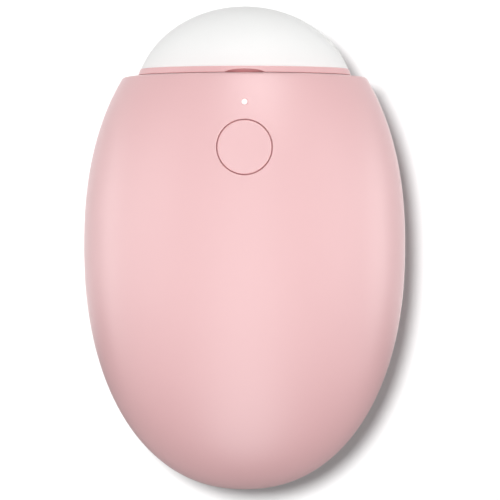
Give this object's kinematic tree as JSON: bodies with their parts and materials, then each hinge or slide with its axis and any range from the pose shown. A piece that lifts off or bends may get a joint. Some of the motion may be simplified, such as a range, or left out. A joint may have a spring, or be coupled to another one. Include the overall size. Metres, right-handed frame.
{
  "type": "rechargeable hand warmer",
  "caption": "Egg-shaped pocket hand warmer with a round flush power button, an indicator light and a frosted lamp cap that pulls off its charging sockets.",
  "frame": {"origin": "middle of the length and width, on the flat of the back that it rests on", "axes": "+Z out of the front face with the power button, +Y towards the lamp dome, +X to the right seen from the front"},
  "size_m": [0.066, 0.0992, 0.038],
  "materials": {
    "shell_pink": "satin moulded plastic",
    "frosted_white": "frosted translucent plastic",
    "clear_plastic": "clear light-guide plastic",
    "plastic_white": "moulded plastic",
    "plastic_black": "moulded plastic",
    "circuit_board": "green solder mask",
    "socket_steel": "plated steel",
    "screw_steel": "zinc-plated steel",
    "contact_gold": "gold-plated spring metal",
    "led_white": "light-emitting diode package",
    "coil_dark": "ferrite",
    "capacitor_tan": "moulded epoxy",
    "cell_foil": "laminated pouch foil",
    "aluminium": "rolled sheet",
    "heater_film": "polyimide film",
    "foam": "closed-cell foam",
    "sensor_glass": "glass bead",
    "wire_red": "silicone insulation",
    "wire_yellow": "silicone insulation",
    "wire_white": "silicone insulation"
  },
  "bodies": {
    "housing": {"front_shell": "shell_pink", "back_shell": "shell_pink", "light_pipe": "clear_plastic", "top_deck": "plastic_white", "lamp_window": "clear_plastic", "lamp_board": "circuit_board", "lamp_led": "led_white", "main_board": "circuit_board", "switch_body": "plastic_black", "usb_a_shell": "socket_steel", "usb_a_tongue": "plastic_black", "usb_a_contacts": "contact_gold", "micro_usb_shell": "socket_steel", "micro_usb_tongue": "plastic_black", "indicator_led": "led_white", "charge_chip": "plastic_black", "boost_inductor": "coil_dark", "capacitors": "capacitor_tan", "protection_board": "circuit_board", "cell_tabs": "socket_steel", "battery_cell_front": "cell_foil", "battery_cell_rear": "cell_foil", "cell_pad": "foam", "battery_tray": "plastic_white", "heat_plate_front": "aluminium", "heat_plate_rear": "aluminium", "heater_film_front": "heater_film", "heater_film_rear": "heater_film", "foam_pad_front": "foam", "foam_pad_rear": "foam", "thermistor": "sensor_glass", "thermal_fuse": "plastic_white", "battery_wires": "wire_red", "heater_wires_front": "wire_yellow", "heater_wires_rear": "wire_yellow", "sensor_wires": "wire_white", "board_screws": "screw_steel", "tray_screws": "screw_steel"},
    "button": {"power_button": "shell_pink"},
    "switch_plunger": {"switch_plunger": "plastic_white"},
    "lamp_cap": {"cap_ring": "shell_pink", "lamp_dome": "frosted_white"}
  },
  "joints": [
    {"name": "button_press", "type": "slide", "parent": "housing", "child": "button", "axis": [0, 0, -1], "range_m": [0, 0.0003], "stiffness_N_per_m": 600},
    {"name": "plunger_press", "type": "slide", "parent": "housing", "child": "switch_plunger", "axis": [0, 0, -1], "range_m": [0, 0.0003], "stiffness_N_per_m": 200},
    {"name": "cap_pull", "type": "slide", "parent": "housing", "child": "lamp_cap", "axis": [0, 1, 0], "range_m": [0, 0.025]}
  ],
  "couplings": [
    {"joint": "plunger_press", "follows": "button_press", "ratio": 1}
  ]
}
